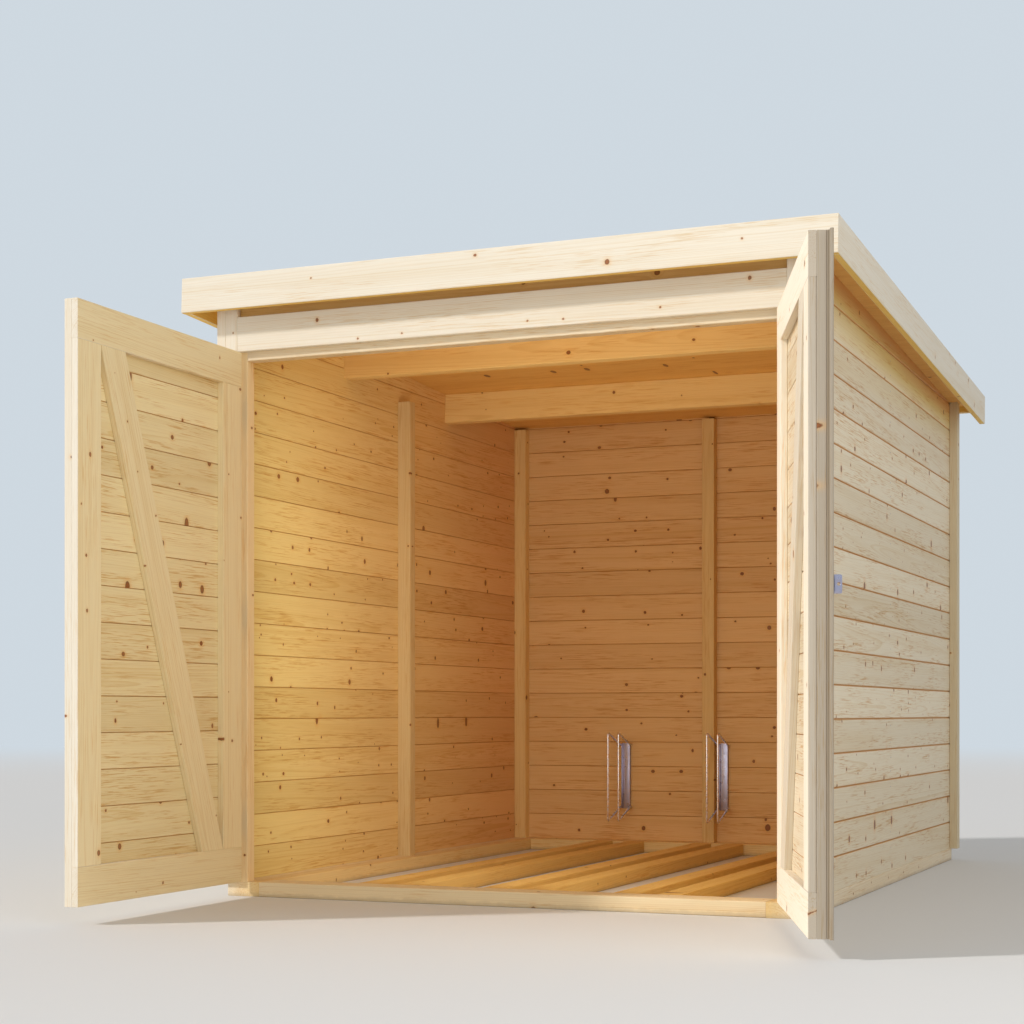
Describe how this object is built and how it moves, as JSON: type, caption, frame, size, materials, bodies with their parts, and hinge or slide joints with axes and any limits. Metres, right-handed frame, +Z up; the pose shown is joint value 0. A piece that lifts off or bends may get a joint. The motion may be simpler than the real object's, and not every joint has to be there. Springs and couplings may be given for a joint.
{
  "type": "bike shelter",
  "caption": "Boarded timber bike shelter with a pent roof, hinged double doors, wheel rails and steel wheel holders.",
  "frame": {"origin": "on the ground under the middle of the front sill, at the centre of its underside", "axes": "+Z up, +X to the right and -Y out of the doorway"},
  "size_m": [1.9914, 2.968, 1.7031],
  "materials": {
    "wall_boards": "planed spruce boards and roof sheets, untreated, with small brown knots",
    "planed_trim": "planed spruce trim and door framing, untreated, pale cream",
    "frame_timber": "planed spruce framing timber, untreated",
    "galvanised_steel": "bright zinc-plated steel",
    "roofing_felt": "plain dark mineral roofing felt"
  },
  "bodies": {
    "shelter": {"base_side_left": "frame_timber", "base_side_right": "frame_timber", "base_sill_front": "frame_timber", "base_sill_rear": "frame_timber", "corner_posts": "frame_timber", "front_battens": "planed_trim", "front_corner_trims": "planed_trim", "front_fascia": "planed_trim", "front_purlin": "frame_timber", "head_rail": "frame_timber", "header_board": "planed_trim", "left_fascia": "planed_trim", "left_hinge_plates": "galvanised_steel", "left_wall": "wall_boards", "mid_purlins": "frame_timber", "rear_battens": "planed_trim", "rear_centre_post": "frame_timber", "rear_corner_trims": "planed_trim", "rear_fascia": "planed_trim", "rear_wall": "wall_boards", "right_fascia": "planed_trim", "right_hinge_plates": "galvanised_steel", "right_wall": "wall_boards", "roof_deck": "wall_boards", "roof_felt": "roofing_felt", "side_posts": "frame_timber", "wheel_holder_1": "galvanised_steel", "wheel_holder_2": "galvanised_steel", "wheel_holder_3": "galvanised_steel", "wheel_rails_1": "frame_timber", "wheel_rails_2": "frame_timber", "wheel_rails_3": "frame_timber"},
    "left_door": {"left_door_boards": "wall_boards", "left_door_brace": "planed_trim", "left_door_rails": "planed_trim", "left_door_stiles": "planed_trim", "left_hinge_flaps": "galvanised_steel", "left_padlock_eye": "galvanised_steel"},
    "right_door": {"right_cover_strip": "planed_trim", "right_door_boards": "wall_boards", "right_door_brace": "planed_trim", "right_door_rails": "planed_trim", "right_door_stiles": "planed_trim", "right_hinge_flaps": "galvanised_steel", "right_padlock_eye": "galvanised_steel"}
  },
  "joints": [
    {"name": "left_door_hinge", "type": "hinge", "parent": "shelter", "child": "left_door", "pos_m": [-0.771, -0.0695, 0.769], "axis": [0, 0, 1], "range_deg": [-19, 90]},
    {"name": "right_door_hinge", "type": "hinge", "parent": "shelter", "child": "right_door", "pos_m": [0.771, -0.0695, 0.769], "axis": [0, 0, -1], "range_deg": [0, 109.4]}
  ]
}
